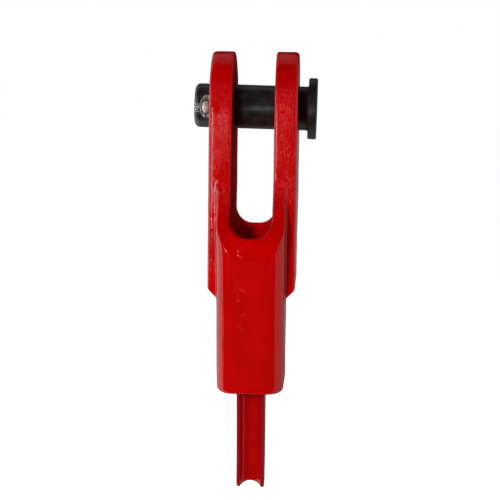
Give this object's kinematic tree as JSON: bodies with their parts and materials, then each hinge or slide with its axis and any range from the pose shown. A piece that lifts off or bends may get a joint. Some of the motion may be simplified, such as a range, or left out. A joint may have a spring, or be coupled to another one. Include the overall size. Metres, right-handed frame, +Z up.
{
  "type": "wedge socket",
  "caption": "Open wedge socket for wire rope: a two-eared jaw with a clevis pin and split pin above a tapered bowl, and a grooved wedge with a long tail hanging below.",
  "frame": {"origin": "centre of the pin joint: halfway between the ears, on the axis of the two bores", "axes": "+X along the pin towards its head, +Z up along the load line towards the jaw's open end, -Y the sloping side of the bowl, which faces the camera in the picture"},
  "size_m": [0.0713, 0.0826, 0.259],
  "materials": {
    "red_enamel": "gloss enamel over a cast surface",
    "black_oxide_steel": "black oxide, satin",
    "bare_steel": "bare drawn wire"
  },
  "bodies": {
    "socket": {"socket_body": "red_enamel"},
    "pin": {"clevis_pin": "black_oxide_steel", "cotter_pin": "bare_steel"},
    "loose_wedge": {"wedge": "red_enamel"}
  },
  "joints": [
    {"name": "pin_spin", "type": "hinge", "parent": "socket", "child": "pin", "pos_m": [0, 0, 0], "axis": [0.9998, 0, -0.0175], "continuous": true},
    {"name": "wedge_slide", "type": "slide", "parent": "socket", "child": "loose_wedge", "axis": [0, 0, 1], "range_m": [0, 0.077]}
  ]
}
